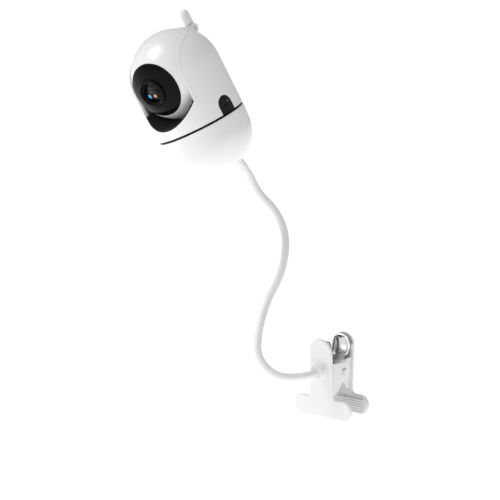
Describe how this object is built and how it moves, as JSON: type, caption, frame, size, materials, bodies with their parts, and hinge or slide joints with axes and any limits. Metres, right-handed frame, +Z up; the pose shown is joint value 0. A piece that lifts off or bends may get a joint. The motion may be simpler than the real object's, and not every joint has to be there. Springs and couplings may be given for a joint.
{
  "type": "baby monitor camera",
  "caption": "Capsule-shaped pan and tilt baby monitor camera on a bendable neck, held to a cot rail by a spring clamp with T-shaped jaws.",
  "frame": {"origin": "middle of the front jaw's pad, on the face that meets the rail", "axes": "+X along the rail, to the right seen from the front; -Y towards the child, where the lens looks; +Z up"},
  "size_m": [0.1691, 0.1144, 0.3134],
  "materials": {
    "clamp_plastic": "white moulded",
    "camera_plastic": "white satin gloss",
    "neck_rubber": "white soft sleeve",
    "antenna_plastic": "white",
    "pad_rubber": "soft light grey",
    "polished_steel": "polished",
    "dark_steel": "dark",
    "motor_steel": "plated",
    "aluminium": "plain",
    "brass": "plain",
    "inner_plastic": "grey",
    "board": "green circuit board",
    "black_gloss": "shiny black",
    "black_matt": "matt black",
    "lens_glass": "coated glass",
    "led_resin": "dark resin"
  },
  "bodies": {
    "clamp_front": {"front_jaw": "clamp_plastic", "front_pad": "pad_rubber", "clamp_pin": "polished_steel", "clamp_spring": "dark_steel", "neck_ferrule": "aluminium", "ferrule_screw": "dark_steel", "neck_sleeve_1": "neck_rubber", "neck_core_1": "aluminium"},
    "clamp_rear": {"rear_jaw": "clamp_plastic", "rear_pad": "pad_rubber", "rear_finger_plate": "polished_steel"},
    "neck_lower": {"neck_sleeve_2": "neck_rubber", "neck_core_2": "aluminium"},
    "neck_middle": {"neck_sleeve_3": "neck_rubber", "neck_core_3": "aluminium"},
    "camera_base": {"neck_sleeve_4": "neck_rubber", "neck_core_4": "aluminium", "neck_collar": "camera_plastic", "mount_stud": "polished_steel", "socket_insert": "brass", "base_cup": "camera_plastic", "base_deck": "inner_plastic", "deck_screws": "dark_steel", "pan_motor": "motor_steel", "main_board": "board", "board_standoffs": "brass", "speaker": "inner_plastic", "power_inlet": "motor_steel"},
    "camera_top": {"pan_shaft": "polished_steel", "seam_ring": "black_gloss", "pan_floor": "inner_plastic", "floor_screws": "dark_steel", "outer_shell": "camera_plastic", "inner_bowl": "black_matt", "tilt_frame": "inner_plastic", "tilt_shaft": "polished_steel", "tilt_pivot": "polished_steel", "card_bay": "black_gloss", "card_socket": "motor_steel", "antenna_pin": "polished_steel"},
    "reset": {"reset_button": "black_matt"},
    "antenna": {"antenna": "antenna_plastic", "antenna_core": "brass"},
    "eye": {"eye_shell": "camera_plastic", "eye_cover": "camera_plastic", "face_disc": "black_gloss", "lens_ring": "black_matt", "front_glass": "lens_glass", "lens_barrel": "black_matt", "lens_holder": "black_matt", "sensor_board": "board", "ir_leds": "led_resin", "light_sensor": "led_resin", "microphone": "motor_steel", "tilt_motor": "motor_steel", "motor_screws": "dark_steel"},
    "filter": {"ir_filter": "lens_glass"}
  },
  "joints": [
    {"name": "rear_jaw_open", "type": "hinge", "parent": "clamp_front", "child": "clamp_rear", "pos_m": [0, 0.009, 0.029], "axis": [1, 0, 0], "range_deg": [-17, 34], "stiffness_Nm_per_rad": 0.3, "springref_deg": -114.59, "deforming": ["clamp_spring"]},
    {"name": "neck_sway", "type": "hinge", "parent": "clamp_front", "child": "neck_lower", "pos_m": [-0.03118, -0.04645, 0.05499], "axis": [0, 0.8726, -0.4884], "range_deg": [-20, 20]},
    {"name": "neck_lean", "type": "hinge", "parent": "neck_lower", "child": "neck_middle", "pos_m": [-0.04317, 0.00512, 0.12284], "axis": [0.9448, 0, 0.3276], "range_deg": [-22, 22]},
    {"name": "neck_nod", "type": "hinge", "parent": "neck_middle", "child": "camera_base", "pos_m": [-0.06283, 0.00636, 0.15577], "axis": [0.6604, 0.2158, 0.7193], "range_deg": [-22, 22]},
    {"name": "pan", "type": "hinge", "parent": "camera_base", "child": "camera_top", "pos_m": [-0.09205, -0.03954, 0.22083], "axis": [-0.3338, -0.2975, 0.8945], "range_deg": [-177.5, 177.5]},
    {"name": "tilt", "type": "hinge", "parent": "camera_top", "child": "eye", "pos_m": [-0.10607, -0.05204, 0.2584], "axis": [-0.9417, 0.0638, -0.3302], "range_deg": [-15, 75]},
    {"name": "antenna_fold", "type": "hinge", "parent": "camera_top", "child": "antenna", "pos_m": [-0.11541, -0.02198, 0.29084], "axis": [-0.9417, 0.0638, -0.3302], "range_deg": [0, 180]},
    {"name": "reset_press", "type": "slide", "parent": "camera_top", "child": "reset", "axis": [-0.9409, 0.163, -0.2969], "range_m": [0, 0.0005], "stiffness_N_per_m": 200},
    {"name": "filter_shift", "type": "slide", "parent": "eye", "child": "filter", "axis": [0.9417, -0.0638, 0.3302], "range_m": [-0.0044, 0.0044]}
  ]
}
